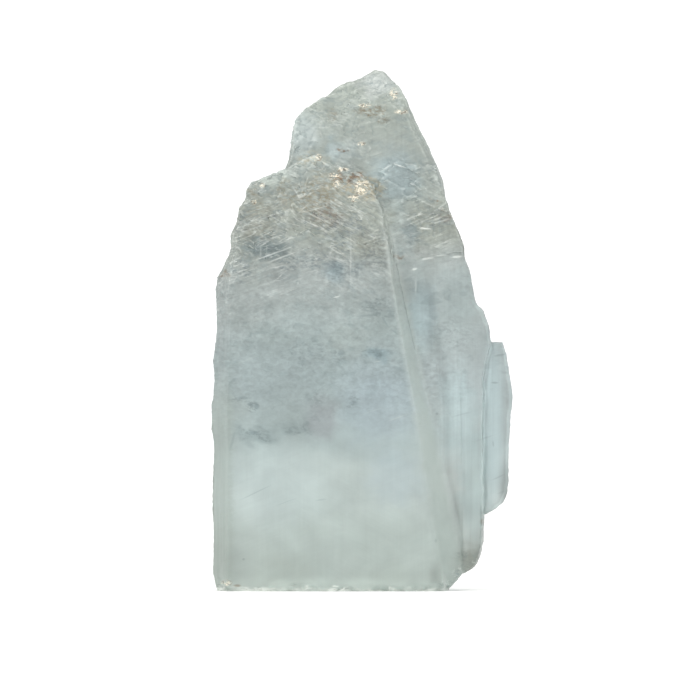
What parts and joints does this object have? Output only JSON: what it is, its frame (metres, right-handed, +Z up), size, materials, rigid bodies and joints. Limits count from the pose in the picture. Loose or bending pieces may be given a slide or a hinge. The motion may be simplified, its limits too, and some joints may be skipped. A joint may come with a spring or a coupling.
{
  "type": "selenite slab",
  "caption": "Free-standing cleaved slab of clear blue-grey selenite: a thick bevelled front plate before a taller pointed blade, torn at the top and broken off flat at the foot.",
  "frame": {"origin": "on the flat broken foot, under the middle of the block's box", "axes": "+Z up along the blade, +X to the right seen from the front, -Y out of the broad front face"},
  "size_m": [0.0754, 0.025, 0.1303],
  "materials": {
    "selenite": "natural crystal: glassy and cloudy with veils, silky upright striae, iron stain near the torn tops"
  },
  "bodies": {
    "root": {"selenite_slab": "selenite"}
  },
  "joints": []
}
